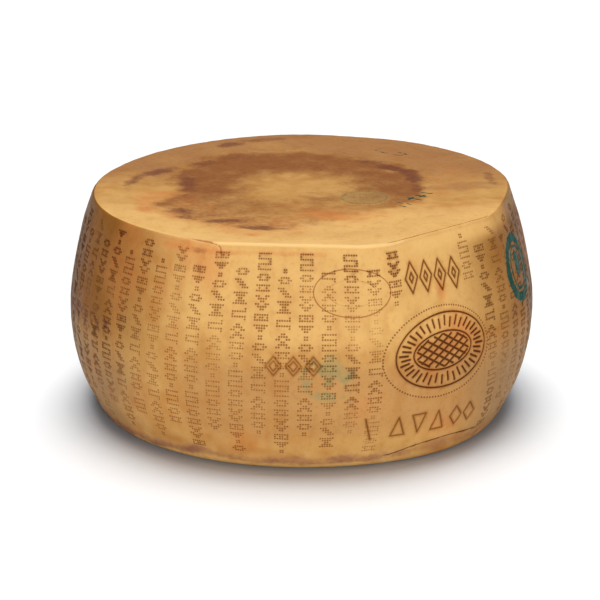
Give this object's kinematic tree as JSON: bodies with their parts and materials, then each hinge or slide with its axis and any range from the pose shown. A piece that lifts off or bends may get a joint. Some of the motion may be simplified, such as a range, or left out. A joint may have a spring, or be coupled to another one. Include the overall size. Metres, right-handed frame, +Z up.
{
  "type": "hard cheese wheel",
  "caption": "Whole wheel of hard aged cheese: barrel-shaped side, flattened panels, crisp rims, a dished top with an inset disc, and an oval mark sunk in the side.",
  "frame": {"origin": "on the surface that the wheel lies on, in the middle of its width and depth", "axes": "+Z up along the wheel's axis, the side with the oval mark towards -Y and +X"},
  "size_m": [0.4566, 0.4554, 0.217],
  "materials": {
    "rind": "dry waxy rind with a low sheen"
  },
  "bodies": {
    "root": {"cheese_wheel": "rind"}
  },
  "joints": []
}
